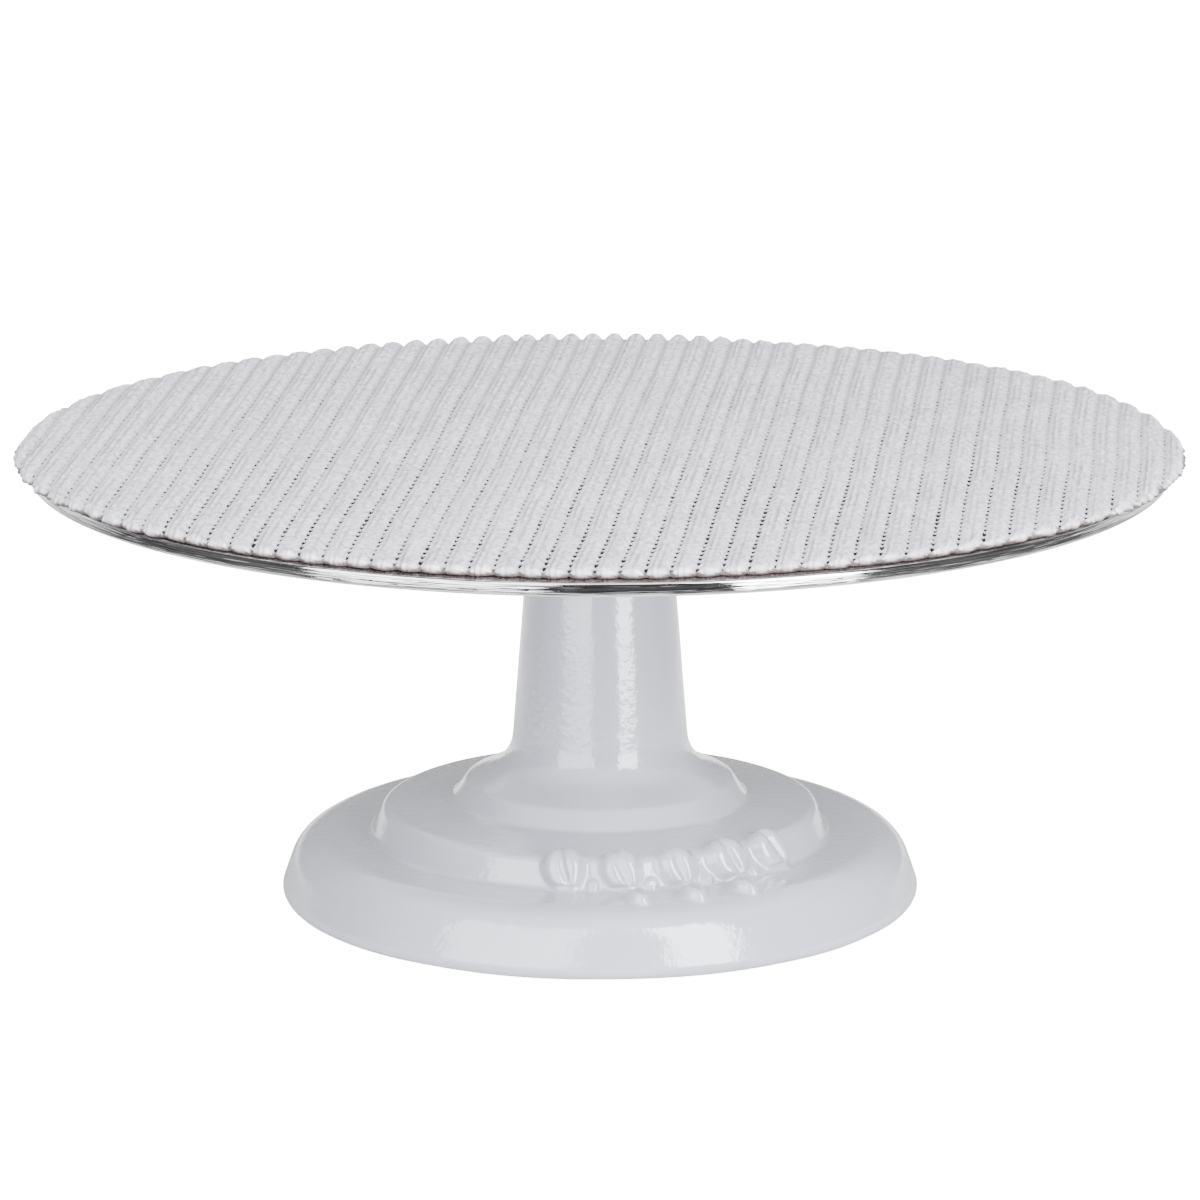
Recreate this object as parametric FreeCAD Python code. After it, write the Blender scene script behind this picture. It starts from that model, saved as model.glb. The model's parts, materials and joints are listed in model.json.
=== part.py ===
import FreeCAD, Part
import math
import os

# Cake turntable: a padded round plate on a spindle that turns in a cast-iron pedestal.
# Millimetres, +Z up. The origin is on the surface that the turntable stands on, on the spindle's axis.

# ---- driving dimensions ----
# levels above the surface that the turntable stands on
TOTAL_HEIGHT = 126.5
PAD_THICK = 2.9
PLATE_THICK = 3.6
COLUMN_TOP = 108.0
FLOOR_GAP = 0.8

# turntable plate and the oval pad lying on it
PLATE_R = 152.4
PLATE_TOP_EDGE_R = 0.6
PLATE_BOTTOM_EDGE_R = 1.2
PAD_LONG_R = 156.0
PAD_SHORT_R = 147.0

# pedestal outline, outside
FOOT_R = 86.9
COLUMN_TOP_R = 18.65
COLUMN_TAPER = 0.0807

# upper ball bearing: 12 x 28 x 8
BEARING_BORE_R = 6.0
BEARING_OUTER_R = 14.0
BEARING_WIDTH = 8.0
BEARING_BOTTOM = 95.0
BALL_COUNT = 8
BALL_R = 2.381
BALL_PITCH_R = 10.0
RACE_GROOVE_R = 2.45
RACE_SHOULDER = 1.5
SHIELD_THICK = 0.4
SHIELD_INSET = 0.3
SHIELD_GAP = 0.25
CAGE_HALF_HEIGHT = 3.0
CAGE_HALF_WALL = 0.5

# spindle, lower bush and thrust parts
SPINDLE_R = 5.97
BUSH_BORE_R = 6.0
BUSH_R = 8.0
BUSH_BOTTOM = 34.0
BUSH_TOP = 52.0
BUSH_FLANGE_R = 11.0
BUSH_FLANGE_THICK = 2.0
THRUST_BALL_R = 4.0
THRUST_GAP = 0.05
THRUST_BALL_Z = 28.0
SEAT_BOTTOM = 20.0
SEAT_TOP = 26.0
PLUG_R = 10.0
PLUG_BOTTOM = 5.0
PLUG_SOCKET_FLATS = 10.0
PLUG_SOCKET_DEPTH = 6.0
LOCKNUT_HEIGHT = 6.0
LOCKNUT_FLATS = 30.0

# casting's hidden features
HOLLOW_R = 77.4
HOLLOW_TOP = 28.8
BOSS_R = 17.0
BOSS_BOTTOM = 12.0
RELIEF_TOP_R = 11.8
RELIEF_BOTTOM_R = 13.6
RIB_COUNT = 4
RIB_THICK = 5.0
RIB_BOTTOM = 9.0
RIB_START_ANGLE = 45.0
CIRCLIP_THICK = 1.0
CIRCLIP_GROOVE_R = 14.7
CIRCLIP_INNER_R = 12.6
CIRCLIP_GAP = 3.4
CIRCLIP_EAR_R = 1.7
CIRCLIP_EAR_X = 3.2
CIRCLIP_EAR_Y = -11.4
CIRCLIP_EAR_HOLE_R = 0.6
SEAL_RECESS_R = 15.5
SEAL_RECESS_BOTTOM = 104.6
SEAL_CLEARANCE = 0.4

# rubber feet
RUBBER_FOOT_R = 8.0
RUBBER_FOOT_HEIGHT = 5.8
FOOT_PITCH_R = 66.0
LUG_R = 9.0
FOOT_SCREW_R = 2.0
FOOT_SCREW_TIP = 13.0
FOOT_HEAD_R = 3.6
FOOT_HEAD_BOTTOM = 0.8
FOOT_HEAD_TOP = 2.8
FOOT_SOCKET_FLATS = 2.5
FOOT_HEAD_CLEARANCE = 0.4

# hub under the plate
HUB_FLANGE_R = 34.0
HUB_FLANGE_THICK = 6.0
HUB_BOSS_R = 15.0
HUB_GAP = 1.0
HUB_SCREW_COUNT = 4
HUB_SCREW_ANGLE = 45.0
HUB_SCREW_PITCH_R = 24.0
HUB_SCREW_R = 2.5
HUB_SCREW_HEAD_R = 4.8
HUB_SCREW_SOCKET_FLATS = 3.0
CENTRE_SCREW_R = 3.0
CENTRE_SCREW_HEAD_R = 5.8
CENTRE_SCREW_LENGTH = 15.0
CENTRE_SCREW_SOCKET_FLATS = 4.0
GRUB_R = 2.0
GRUB_LENGTH = 8.0
GRUB_SOCKET_FLATS = 2.0
GRUB_SOCKET_DEPTH = 2.5

# raised ornament on the front of the foot: a row of five beads over a row of three,
# each row as (count, pitch radius, height of the centres, bead's diameter, degrees between beads)
ORNAMENT_ANGLE = -70.0
BEAD_ROWS = ((5, 58.0, 23.2, 9.0, 14.5), (3, 71.2, 18.6, 5.6, 12.0))

# ---- levels that follow from them ----
PAD_BOTTOM = TOTAL_HEIGHT - PAD_THICK
PLATE_BOTTOM = PAD_BOTTOM - PLATE_THICK
HUB_FLANGE_BOTTOM = PLATE_BOTTOM - HUB_FLANGE_THICK
HUB_BOTTOM = COLUMN_TOP + HUB_GAP
BEARING_MID = BEARING_BOTTOM + BEARING_WIDTH / 2
BEARING_TOP = BEARING_BOTTOM + BEARING_WIDTH
SPINDLE_BOTTOM = THRUST_BALL_Z + THRUST_BALL_R + THRUST_GAP

Z_AXIS = FreeCAD.Vector(0, 0, 1)
ORIGIN = FreeCAD.Vector(0, 0, 0)


# ---- small tools ----
def point(radius, height):
    """A point of a half section: radius from the axis, height above the surface."""
    return FreeCAD.Vector(radius, 0, height)


def column_r(height):
    """Outside radius of the tapered column at a height."""
    return COLUMN_TOP_R + COLUMN_TAPER * (COLUMN_TOP - height)


def rounded_section(corners):
    """A closed half section from corners (radius, height, round), each round a true arc."""
    edges = []
    previous_end = None
    first_start = None
    count = len(corners)
    for index, (radius, height, round_r) in enumerate(corners):
        here = point(radius, height)
        before = point(*corners[index - 1][:2])
        after = point(*corners[(index + 1) % count][:2])
        start, end = here, here
        arc = None
        if round_r > 0:
            back = (before - here).normalize()
            ahead = (after - here).normalize()
            half = back.getAngle(ahead) / 2
            reach = round_r / math.tan(half)
            start = here + back * reach
            end = here + ahead * reach
            bisector = (back + ahead).normalize()
            middle = here + bisector * (round_r / math.sin(half) - round_r)
            arc = Part.Arc(start, middle, end).toShape()
        if previous_end is not None:
            edges.append(Part.LineSegment(previous_end, start).toShape())
        if arc is not None:
            edges.append(arc)
        if first_start is None:
            first_start = start
        previous_end = end
    edges.append(Part.LineSegment(previous_end, first_start).toShape())
    return Part.Face(Part.Wire(edges))


def turned(corners):
    """A solid of revolution about the spindle's axis."""
    return rounded_section(corners).revolve(ORIGIN, Z_AXIS, 360)


def plain(*corners):
    """Corners with no round, for turned()."""
    return [(radius, height, 0) for radius, height in corners]


def ring(inner_r, outer_r, bottom, top):
    """A plain ring, square in section."""
    return turned(plain((inner_r, bottom), (outer_r, bottom), (outer_r, top), (inner_r, top)))


def disc(radius, bottom, top, x=0.0, y=0.0):
    """A plain upright cylinder."""
    return Part.makeCylinder(radius, top - bottom, FreeCAD.Vector(x, y, bottom))


def hexagon(flats, bottom, top, x=0.0, y=0.0):
    """An upright hexagonal prism, measured across its flats."""
    corner_r = flats / math.sqrt(3)
    corners = []
    for step in range(7):
        angle = math.radians(60 * step)
        corners.append(FreeCAD.Vector(x + corner_r * math.cos(angle), y + corner_r * math.sin(angle), bottom))
    return Part.Face(Part.makePolygon(corners)).extrude(FreeCAD.Vector(0, 0, top - bottom))


def spread(count, pitch_r, start_angle):
    """Places evenly spaced on a pitch circle: (angle in degrees, x, y)."""
    places = []
    for step in range(count):
        angle = start_angle + step * 360.0 / count
        turn = math.radians(angle)
        places.append((angle, pitch_r * math.cos(turn), pitch_r * math.sin(turn)))
    return places


def countersunk_screw(shank_r, head_r, top, tip, socket_flats, x=0.0, y=0.0):
    """A flat-head screw pointing down, with a hexagonal socket."""
    cone = head_r - shank_r
    head = Part.makeCone(shank_r, head_r, cone, FreeCAD.Vector(x, y, top - cone))
    shank = disc(shank_r, tip, top - cone, x, y)
    socket = hexagon(socket_flats, top - cone * 0.8, top + 1, x, y)
    return head.fuse(shank).removeSplitter().cut(socket)


def countersunk_hole(shank_r, head_r, top, bottom, x=0.0, y=0.0):
    """The space that a flat-head screw fills."""
    cone = head_r - shank_r
    head = Part.makeCone(shank_r, head_r, cone, FreeCAD.Vector(x, y, top - cone))
    return head.fuse(disc(shank_r, bottom, top - cone, x, y))


def write(name, shape):
    """Save one node as a STEP file."""
    shape.exportStep("parts/" + name + ".step")
    print(name, "solids", len(shape.Solids), "volume", round(shape.Volume), "valid", shape.isValid())


# ---- pedestal ----
def casting_outside():
    """Foot in three terraces that sweep up into the tapered column."""
    return turned([
        (0, FLOOR_GAP, 0),
        (FOOT_R - 6.0, FLOOR_GAP, 2.5),
        (FOOT_R, 2.3, 3.0),
        (81.1, 19.0, 10.8),
        (61.9, 19.0, 2.0),
        (58.2, 26.8, 3.0),
        (39.8, 28.7, 2.0),
        (36.0, 33.9, 2.8),
        (column_r(39.3), 39.3, 10.9),
        (COLUMN_TOP_R, COLUMN_TOP, 0.8),
        (0, COLUMN_TOP, 0),
    ])


def casting_hollow():
    """Space under the foot, following the terraces about a wall's thickness inside."""
    return turned([
        (BOSS_R, FLOOR_GAP - 1, 0),
        (HOLLOW_R, FLOOR_GAP - 1, 0),
        (75.4, 12.2, 4.0),
        (57.4, 12.6, 2.0),
        (53.0, 20.4, 3.0),
        (36.0, 21.8, 2.0),
        (31.5, 27.6, 3.0),
        (BOSS_R, HOLLOW_TOP, 2.0),
    ])


def casting_ribs():
    """Four radial ribs between the boss and the rim, each with a lug for a rubber foot."""
    lugs = []
    for angle, x, y in spread(RIB_COUNT, FOOT_PITCH_R, RIB_START_ANGLE):
        rib_height = HOLLOW_TOP + 1 - RIB_BOTTOM
        rib = Part.makeBox(FOOT_R, RIB_THICK, rib_height, FreeCAD.Vector(0, -RIB_THICK / 2, RIB_BOTTOM))
        rib.rotate(ORIGIN, Z_AXIS, angle)
        lugs.append(rib)
        lugs.append(disc(LUG_R, RUBBER_FOOT_HEIGHT, HOLLOW_TOP + 1, x, y))
    return lugs[0].multiFuse(lugs[1:])


def casting_bores():
    """Everything machined from above and below on the spindle's axis."""
    seat = turned(plain(
        (0, BEARING_BOTTOM),
        (BEARING_OUTER_R, BEARING_BOTTOM),
        (BEARING_OUTER_R, BEARING_TOP),
        (CIRCLIP_GROOVE_R, BEARING_TOP),
        (CIRCLIP_GROOVE_R, BEARING_TOP + CIRCLIP_THICK + 0.1),
        (BEARING_OUTER_R, BEARING_TOP + CIRCLIP_THICK + 0.1),
        (BEARING_OUTER_R, SEAL_RECESS_BOTTOM),
        (SEAL_RECESS_R, SEAL_RECESS_BOTTOM),
        (SEAL_RECESS_R, COLUMN_TOP + 1),
        (0, COLUMN_TOP + 1),
    ))
    relief = turned(plain(
        (0, BUSH_TOP),
        (RELIEF_BOTTOM_R, BUSH_TOP),
        (RELIEF_TOP_R, BEARING_BOTTOM),
        (0, BEARING_BOTTOM),
    ))
    thrust = disc(BUSH_R, SEAT_BOTTOM, BUSH_TOP)
    thread = disc(PLUG_R, FLOOR_GAP - 1, SEAT_BOTTOM)
    return seat.fuse(relief).fuse(thrust).fuse(thread)


def ornament():
    """Smooth raised beads on the front of the foot."""
    beads = []
    for count, pitch_r, height, size, spacing in BEAD_ROWS:
        for step in range(count):
            angle = math.radians(ORNAMENT_ANGLE + (step - (count - 1) / 2) * spacing)
            bead = Part.makeSphere(size / 2)
            bead.translate(FreeCAD.Vector(pitch_r * math.cos(angle), pitch_r * math.sin(angle), height))
            beads.append(bead)
    return beads


def base_casting():
    hollow = casting_hollow().cut(casting_ribs())
    body = casting_outside().cut(hollow)
    body = body.multiFuse(ornament())
    body = body.cut(disc(BOSS_R + 1.0, FLOOR_GAP - 1, BOSS_BOTTOM))
    body = body.cut(casting_bores())
    for _, x, y in spread(RIB_COUNT, FOOT_PITCH_R, RIB_START_ANGLE):
        body = body.cut(disc(FOOT_SCREW_R, RUBBER_FOOT_HEIGHT - 1, FOOT_SCREW_TIP, x, y))
    return body


def rubber_foot(x, y):
    """A rubber pad with a sunk hole for its screw."""
    foot = turned([
        (0, 0, 0),
        (RUBBER_FOOT_R, 0, 1.0),
        (RUBBER_FOOT_R + 0.6, RUBBER_FOOT_HEIGHT, 0),
        (0, RUBBER_FOOT_HEIGHT, 0),
    ])
    foot = foot.cut(disc(FOOT_SCREW_R, -1, RUBBER_FOOT_HEIGHT + 1))
    foot = foot.cut(disc(FOOT_HEAD_R + FOOT_HEAD_CLEARANCE, -1, FOOT_HEAD_TOP))
    foot.translate(FreeCAD.Vector(x, y, 0))
    return foot


def foot_screws():
    screws = []
    for _, x, y in spread(RIB_COUNT, FOOT_PITCH_R, RIB_START_ANGLE):
        head = disc(FOOT_HEAD_R, FOOT_HEAD_BOTTOM, FOOT_HEAD_TOP, x, y)
        head = head.fuse(disc(FOOT_SCREW_R, FOOT_HEAD_TOP, FOOT_SCREW_TIP, x, y)).removeSplitter()
        socket_depth = (FOOT_HEAD_TOP - FOOT_HEAD_BOTTOM) * 0.6
        screws.append(head.cut(hexagon(FOOT_SOCKET_FLATS, 0, FOOT_HEAD_BOTTOM + socket_depth, x, y)))
    return Part.makeCompound(screws)


# ---- thrust parts at the foot of the spindle ----
def lower_bush():
    """Flanged bronze bush that the spindle turns in."""
    return turned([
        (BUSH_BORE_R, BUSH_BOTTOM, 0),
        (BUSH_R, BUSH_BOTTOM, 0),
        (BUSH_R, BUSH_TOP, 0),
        (BUSH_FLANGE_R, BUSH_TOP, 0),
        (BUSH_FLANGE_R, BUSH_TOP + BUSH_FLANGE_THICK, 0.5),
        (BUSH_BORE_R, BUSH_TOP + BUSH_FLANGE_THICK, 0),
    ])


def thrust_seat():
    """Hardened cup under the thrust ball."""
    cup = Part.makeSphere(THRUST_BALL_R + THRUST_GAP)
    cup.translate(point(0, THRUST_BALL_Z))
    return disc(BUSH_R, SEAT_BOTTOM, SEAT_TOP).cut(cup)


def thrust_ball():
    ball = Part.makeSphere(THRUST_BALL_R)
    ball.translate(point(0, THRUST_BALL_Z))
    return ball


def bottom_plug():
    """Adjusting plug screwed up into the boss, with a hexagonal socket below."""
    plug = turned([
        (0, PLUG_BOTTOM, 0),
        (PLUG_R, PLUG_BOTTOM, 1.0),
        (PLUG_R, SEAT_BOTTOM, 0),
        (0, SEAT_BOTTOM, 0),
    ])
    return plug.cut(hexagon(PLUG_SOCKET_FLATS, PLUG_BOTTOM - 1, PLUG_BOTTOM + PLUG_SOCKET_DEPTH))


def plug_locknut():
    nut = hexagon(LOCKNUT_FLATS, BOSS_BOTTOM - LOCKNUT_HEIGHT, BOSS_BOTTOM)
    return nut.cut(disc(PLUG_R, 0, BOSS_BOTTOM + 1))


# ---- upper ball bearing ----
def race_groove():
    return Part.makeTorus(BALL_PITCH_R, RACE_GROOVE_R, point(0, BEARING_MID), Z_AXIS)


def outer_race():
    inner_r = BALL_PITCH_R + RACE_SHOULDER
    return ring(inner_r, BEARING_OUTER_R, BEARING_BOTTOM, BEARING_TOP).cut(race_groove())


def inner_race():
    outer_r = BALL_PITCH_R - RACE_SHOULDER
    return ring(BEARING_BORE_R, outer_r, BEARING_BOTTOM, BEARING_TOP).cut(race_groove())


def bearing_shield(bottom):
    """Thin ring pressed into the outer race, just clear of the inner one."""
    inner_r = BALL_PITCH_R - RACE_SHOULDER + SHIELD_GAP
    return ring(inner_r, BALL_PITCH_R + RACE_SHOULDER, bottom, bottom + SHIELD_THICK)


def bearing_ball(x, y):
    ball = Part.makeSphere(BALL_R)
    ball.translate(FreeCAD.Vector(x, y, BEARING_MID))
    return ball


def bearing_cage():
    """Ring with a round pocket for each ball."""
    cage = ring(BALL_PITCH_R - CAGE_HALF_WALL, BALL_PITCH_R + CAGE_HALF_WALL,
                BEARING_MID - CAGE_HALF_HEIGHT, BEARING_MID + CAGE_HALF_HEIGHT)
    for _, x, y in spread(BALL_COUNT, BALL_PITCH_R, 0):
        outward = FreeCAD.Vector(x, y, 0)
        pocket = Part.makeCylinder(RACE_GROOVE_R, BALL_PITCH_R * 2, point(0, BEARING_MID), outward)
        cage = cage.cut(pocket)
    return cage


def bearing_circlip():
    """Sprung ring in the groove over the bearing, with two drilled ears."""
    top = BEARING_TOP + CIRCLIP_THICK
    clip = ring(CIRCLIP_INNER_R, CIRCLIP_GROOVE_R - 0.1, BEARING_TOP, top)
    for ear_x in (-CIRCLIP_EAR_X, CIRCLIP_EAR_X):
        clip = clip.fuse(disc(CIRCLIP_EAR_R, BEARING_TOP, top, ear_x, CIRCLIP_EAR_Y))
    gap_start = FreeCAD.Vector(-CIRCLIP_GAP / 2, -CIRCLIP_GROOVE_R - 1, BEARING_TOP - 1)
    clip = clip.cut(Part.makeBox(CIRCLIP_GAP, CIRCLIP_GROOVE_R / 2, CIRCLIP_THICK + 2, gap_start))
    for ear_x in (-CIRCLIP_EAR_X, CIRCLIP_EAR_X):
        clip = clip.cut(disc(CIRCLIP_EAR_HOLE_R, BEARING_TOP - 1, top + 1, ear_x, CIRCLIP_EAR_Y))
    return clip


def dust_seal():
    """Rubber ring round the spindle in the mouth of the column."""
    inner_r = SPINDLE_R + SEAL_CLEARANCE
    return turned([
        (inner_r, SEAL_RECESS_BOTTOM, 0),
        (SEAL_RECESS_R, SEAL_RECESS_BOTTOM, 0),
        (SEAL_RECESS_R, COLUMN_TOP - 0.4, 0),
        (inner_r + 3.0, COLUMN_TOP - 0.4, 0.5),
        (inner_r, COLUMN_TOP + 0.4, 0),
    ])


# ---- top that lifts off ----
def spindle():
    """Ground steel shaft with a tapped hole in its upper end."""
    shaft = turned([
        (0, SPINDLE_BOTTOM, 0),
        (SPINDLE_R - 1.0, SPINDLE_BOTTOM, 0),
        (SPINDLE_R, SPINDLE_BOTTOM + 1.0, 0),
        (SPINDLE_R, PLATE_BOTTOM, 0),
        (0, PLATE_BOTTOM, 0),
    ])
    return shaft.cut(disc(CENTRE_SCREW_R, PLATE_BOTTOM - CENTRE_SCREW_LENGTH, PLATE_BOTTOM + 1))


def grub_hole():
    start = FreeCAD.Vector(0, 0, (HUB_BOTTOM + HUB_FLANGE_BOTTOM) / 2)
    return Part.makeCylinder(GRUB_R, HUB_BOSS_R + 2, start, FreeCAD.Vector(1, 0, 0))


def hub_flange():
    """Flange that carries the plate, with a boss that grips the spindle."""
    hub = turned([
        (BUSH_BORE_R, HUB_BOTTOM, 0),
        (HUB_BOSS_R, HUB_BOTTOM, 0.8),
        (HUB_BOSS_R, HUB_FLANGE_BOTTOM, 2.0),
        (HUB_FLANGE_R, HUB_FLANGE_BOTTOM + 1.5, 1.5),
        (HUB_FLANGE_R, PLATE_BOTTOM, 0),
        (BUSH_BORE_R, PLATE_BOTTOM, 0),
    ])
    for _, x, y in spread(HUB_SCREW_COUNT, HUB_SCREW_PITCH_R, HUB_SCREW_ANGLE):
        hub = hub.cut(disc(HUB_SCREW_R, HUB_BOTTOM, PLATE_BOTTOM + 1, x, y))
    return hub.cut(grub_hole())


def hub_grub_screw():
    height = (HUB_BOTTOM + HUB_FLANGE_BOTTOM) / 2
    start = FreeCAD.Vector(BUSH_BORE_R, 0, height)
    screw = Part.makeCylinder(GRUB_R, GRUB_LENGTH, start, FreeCAD.Vector(1, 0, 0))
    socket = hexagon(GRUB_SOCKET_FLATS, GRUB_LENGTH - GRUB_SOCKET_DEPTH, GRUB_LENGTH + 1)
    socket.rotate(ORIGIN, FreeCAD.Vector(0, 1, 0), 90)
    socket.translate(start)
    return screw.cut(socket)


def turntable_plate():
    """Round plate with a rounded edge, sunk for its screws."""
    plate = turned([
        (0, PLATE_BOTTOM, 0),
        (PLATE_R, PLATE_BOTTOM, PLATE_BOTTOM_EDGE_R),
        (PLATE_R, PAD_BOTTOM, PLATE_TOP_EDGE_R),
        (0, PAD_BOTTOM, 0),
    ])
    for _, x, y in spread(HUB_SCREW_COUNT, HUB_SCREW_PITCH_R, HUB_SCREW_ANGLE):
        plate = plate.cut(countersunk_hole(HUB_SCREW_R, HUB_SCREW_HEAD_R, PAD_BOTTOM, PLATE_BOTTOM - 1, x, y))
    return plate.cut(countersunk_hole(CENTRE_SCREW_R, CENTRE_SCREW_HEAD_R, PAD_BOTTOM, PLATE_BOTTOM - 1))


def plate_screws():
    screws = []
    for _, x, y in spread(HUB_SCREW_COUNT, HUB_SCREW_PITCH_R, HUB_SCREW_ANGLE):
        screws.append(countersunk_screw(HUB_SCREW_R, HUB_SCREW_HEAD_R, PAD_BOTTOM, HUB_FLANGE_BOTTOM + 1,
                                        HUB_SCREW_SOCKET_FLATS, x, y))
    return Part.makeCompound(screws)


def centre_screw():
    tip = PAD_BOTTOM - CENTRE_SCREW_LENGTH
    return countersunk_screw(CENTRE_SCREW_R, CENTRE_SCREW_HEAD_R, PAD_BOTTOM, tip, CENTRE_SCREW_SOCKET_FLATS)


def non_slip_pad():
    """Oval pad, longer from side to side than from front to back."""
    outline = Part.Ellipse(point(0, PAD_BOTTOM), PAD_LONG_R, PAD_SHORT_R).toShape()
    return Part.Face(Part.Wire([outline])).extrude(FreeCAD.Vector(0, 0, PAD_THICK))


def write_pedestal():
    write("base_casting", base_casting())
    names = ("foot_back_right", "foot_back_left", "foot_front_left", "foot_front_right")
    for name, (_, x, y) in zip(names, spread(RIB_COUNT, FOOT_PITCH_R, RIB_START_ANGLE)):
        write(name, rubber_foot(x, y))
    write("foot_screws", foot_screws())
    write("lower_bush", lower_bush())
    write("thrust_seat", thrust_seat())
    write("thrust_ball", thrust_ball())
    write("bottom_plug", bottom_plug())
    write("plug_locknut", plug_locknut())
    write("dust_seal", dust_seal())


def write_bearing():
    write("bearing_outer_race", outer_race())
    write("bearing_inner_race", inner_race())
    write("bearing_lower_shield", bearing_shield(BEARING_BOTTOM + SHIELD_INSET))
    write("bearing_upper_shield", bearing_shield(BEARING_TOP - SHIELD_INSET - SHIELD_THICK))
    write("bearing_cage", bearing_cage())
    for number, (_, x, y) in enumerate(spread(BALL_COUNT, BALL_PITCH_R, 0), start=1):
        write("bearing_ball_" + str(number), bearing_ball(x, y))
    write("bearing_circlip", bearing_circlip())


def write_top():
    write("spindle", spindle())
    write("hub_flange", hub_flange())
    write("hub_grub_screw", hub_grub_screw())
    write("turntable_plate", turntable_plate())
    write("plate_screws", plate_screws())
    write("centre_screw", centre_screw())
    write("non_slip_pad", non_slip_pad())


os.makedirs("parts", exist_ok=True)
write_pedestal()
write_bearing()
write_top()
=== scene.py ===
import json
import math

import bmesh
import bpy
import numpy as np
from mathutils import Euler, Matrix, Vector, geometry, noise


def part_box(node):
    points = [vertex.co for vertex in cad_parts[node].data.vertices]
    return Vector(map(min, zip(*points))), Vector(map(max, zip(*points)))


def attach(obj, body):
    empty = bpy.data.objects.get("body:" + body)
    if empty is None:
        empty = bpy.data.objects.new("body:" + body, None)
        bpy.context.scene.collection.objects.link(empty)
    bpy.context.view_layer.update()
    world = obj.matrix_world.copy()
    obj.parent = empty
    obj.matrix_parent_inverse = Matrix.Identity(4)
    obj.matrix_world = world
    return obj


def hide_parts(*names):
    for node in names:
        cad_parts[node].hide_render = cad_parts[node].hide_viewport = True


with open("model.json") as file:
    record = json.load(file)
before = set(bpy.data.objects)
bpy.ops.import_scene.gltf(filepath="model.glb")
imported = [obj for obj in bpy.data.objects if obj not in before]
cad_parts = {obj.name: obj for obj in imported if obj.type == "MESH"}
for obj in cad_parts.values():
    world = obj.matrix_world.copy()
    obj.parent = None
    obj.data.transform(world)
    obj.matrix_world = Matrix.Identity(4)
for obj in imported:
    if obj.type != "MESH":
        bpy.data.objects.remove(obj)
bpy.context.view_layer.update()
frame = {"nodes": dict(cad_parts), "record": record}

# A cake turntable: a perforated foam pad on a polished plate, which turns on an enamelled cast pedestal.
# Outlines are in millimetres, as (radius, height) in half section, and meshes are built in metres.
MM = 0.001
SEED = 27
# the bend radius given to an outline's straight stretches
STRAIGHT = 1e3

# ---- levels and radii from the frame, in millimetres ----
PLATE_LOW, PLATE_HIGH = (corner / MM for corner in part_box("turntable_plate"))
PAD_LOW, PAD_HIGH = (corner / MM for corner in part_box("non_slip_pad"))
CASTING_LOW, CASTING_HIGH = (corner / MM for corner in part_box("base_casting"))
PLATE_R = PLATE_HIGH.x
PAD_LONG_R = PAD_HIGH.x
COLUMN_TOP = CASTING_HIGH.z

# ---- pedestal casting ----
COLUMN_TOP_R = 18.65
FOOT_EDGE_Z = CASTING_LOW.z
CASTING_OUTSIDE = (
    (78.6, FOOT_EDGE_Z, 0),
    (80.9, FOOT_EDGE_Z, 2.5),
    (86.9, 2.3, 3.0),
    (81.1, 19.0, 10.8),
    (61.9, 19.0, 2.0),
    (58.2, 26.8, 3.0),
    (39.8, 28.7, 2.0),
    (36.0, 33.9, 2.8),
    (24.19, 39.3, 10.9),
    (COLUMN_TOP_R, COLUMN_TOP, 0.8),
    (17.0, COLUMN_TOP, 0),
)
RECESS_R = 15.5
HOLLOW_R = 77.4
WALL_MIN = 3.0
# spacing of the mesh's points, in millimetres along the outline and in degrees round it
ORNAMENT_STEP = 0.42
FOOT_STEP = 1.15
COLUMN_STEP = 1.6
COLUMN_FOOT = 45.0
# where the ornament may cover the foot: its middle and half its sector in degrees, radii and lowest level
ORNAMENT_ANGLE = -70.0
ORNAMENT_HALF_SECTOR = 38.0
ORNAMENT_RADII = (53.5, 77.0)
ORNAMENT_LOW = 16.0
# each row of beads: count, point of the outline that it is centred on, half width, half length,
# height, degrees between beads and lean in degrees
LEAVES = (5, (59.8, 23.9), 5.2, 6.5, 2.8, 14.5, 20.0)
DROPS = (3, (71.4, 19.0), 3.1, 4.3, 3.2, 12.0, 20.0)
SEEDS = (4, (61.6, 19.9), 1.7, 1.9, 1.0, 14.5, 0.0)

# ---- plate ----
PLATE_TOP_EDGE_R = 0.6
PLATE_BOTTOM_EDGE_R = 0.8
HUB_SCREW_PITCH_R = 24.0
# the radii of a screw's hole and of its countersink
HUB_SCREW_SIZE = (2.5, 4.8)
CENTRE_SCREW_SIZE = (3.0, 5.8)
PLATE_FLAT_R = 140.0
PLATE_SEGMENTS = 720
HOLE_SEGMENTS = 96
HOLE_CHAMFER = 0.12

# ---- pad ----
# half of what the pad is narrower in front than at its sides, and what its back is narrower still
PAD_OVAL = 3.6
PAD_BACK_CUT = 4.4
PAD_LEAN = math.radians(5.4)
ROW_PITCH = 6.25
HOLE_PITCH = 4.4
CROWN = 2.72
PAD_REST = 0.03
PAD_EDGE_COUNT = 1560
PAD_UNDER_STEP = 7.0
PAD_UNDER_REACH = 160

# ---- studio, in metres ----
CAMERA_PLACE = (0, -1.71557, 0.498)
CAMERA_DIP = 13.612
CAMERA_LENS = 197.05
LIGHT_DISTANCE = 1.5
FLOOR_FRONT = -0.42
# how bright the floor and the backdrop are to the camera only
FLOOR_GLOW = 16.0
BACKDROP_GLOW = 20.0


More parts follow.
